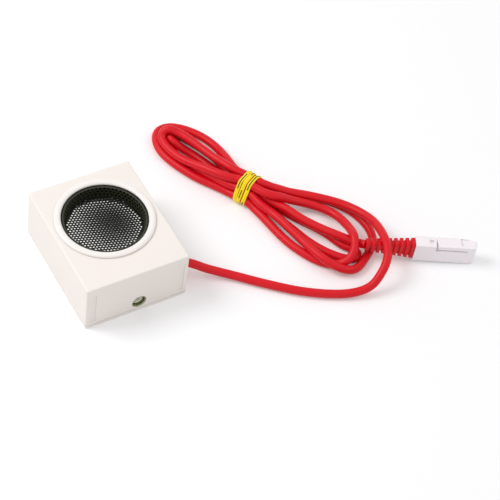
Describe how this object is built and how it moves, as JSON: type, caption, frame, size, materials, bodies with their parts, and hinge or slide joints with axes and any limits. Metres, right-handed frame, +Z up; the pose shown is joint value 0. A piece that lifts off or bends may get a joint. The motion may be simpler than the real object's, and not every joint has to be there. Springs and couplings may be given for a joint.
{
  "type": "ultrasonic motion sensor",
  "caption": "Box-shaped ultrasonic ranging sensor with a round bezel, a recessed perforated transducer, a threaded rod socket and a lead tied in a hank, ending in a flat latching plug.",
  "frame": {"origin": "centre of the box's underside, on the surface it stands on", "axes": "+Z up through the bezel; +Y away from the face with the threaded insert; the lead leaves the +X face"},
  "size_m": [0.1973, 0.1448, 0.03],
  "materials": {
    "housing": "warm white moulded ABS, satin",
    "bezel": "warm white moulded ABS, smooth",
    "black_cover": "formed steel, black lacquer",
    "foil": "metallised plastic film",
    "aluminium": "turned",
    "spring_steel": "spring temper",
    "black_plastic": "moulded, matt",
    "brass": "plated",
    "insert_brass": "dull, darkened",
    "board": "green solder resist",
    "ferrite": "sintered",
    "winding_tape": "polyester tape over copper",
    "capacitor_sleeve": "shrunk sleeve",
    "film_capacitor": "dipped",
    "zinc_steel": "zinc plated",
    "white_connector": "natural nylon",
    "wire_black": "PVC insulation",
    "wire_red": "PVC insulation",
    "wire_green": "PVC insulation",
    "wire_yellow": "PVC insulation",
    "cord_red": "soft red PVC, satin",
    "tie_yellow": "paper and wire twist tie",
    "plug_white": "moulded polycarbonate"
  },
  "bodies": {
    "root": {"top_housing": "housing", "base_plate": "housing", "bezel_ring": "bezel", "transducer_cover": "black_cover", "transducer_screen": "black_cover", "foil_diaphragm": "foil", "grooved_backplate": "aluminium", "leaf_spring": "spring_steel", "transducer_cup": "black_plastic", "transducer_terminal_1": "brass", "transducer_terminal_2": "brass", "threaded_insert": "insert_brass", "circuit_board": "board", "transformer_core": "ferrite", "transformer_winding_1": "winding_tape", "transformer_winding_2": "winding_tape", "ranging_chip": "black_plastic", "driver_chip": "black_plastic", "timer_chip": "black_plastic", "storage_capacitor": "capacitor_sleeve", "film_capacitor": "film_capacitor", "timing_crystal": "zinc_steel", "cord_header": "white_connector", "cord_wire_1": "wire_black", "cord_wire_2": "wire_red", "cord_wire_3": "wire_green", "cord_wire_4": "wire_yellow", "transducer_wire_1": "wire_black", "transducer_wire_2": "wire_red", "base_screw_1": "zinc_steel", "base_screw_2": "zinc_steel", "base_screw_3": "zinc_steel", "base_screw_4": "zinc_steel", "board_screw_1": "zinc_steel", "board_screw_2": "zinc_steel", "board_screw_3": "zinc_steel", "board_screw_4": "zinc_steel", "cord_grommet": "cord_red", "cord_stub": "cord_red", "cable_tie": "white_connector", "cord_lead": "cord_red", "cord_hank": "cord_red", "cord_tail": "cord_red", "twist_tie": "tie_yellow", "plug_boot": "cord_red", "plug_body": "plug_white", "plug_contact_1": "brass", "plug_contact_2": "brass", "plug_contact_3": "brass", "plug_contact_4": "brass", "plug_contact_5": "brass", "plug_contact_6": "brass"}
  },
  "joints": []
}
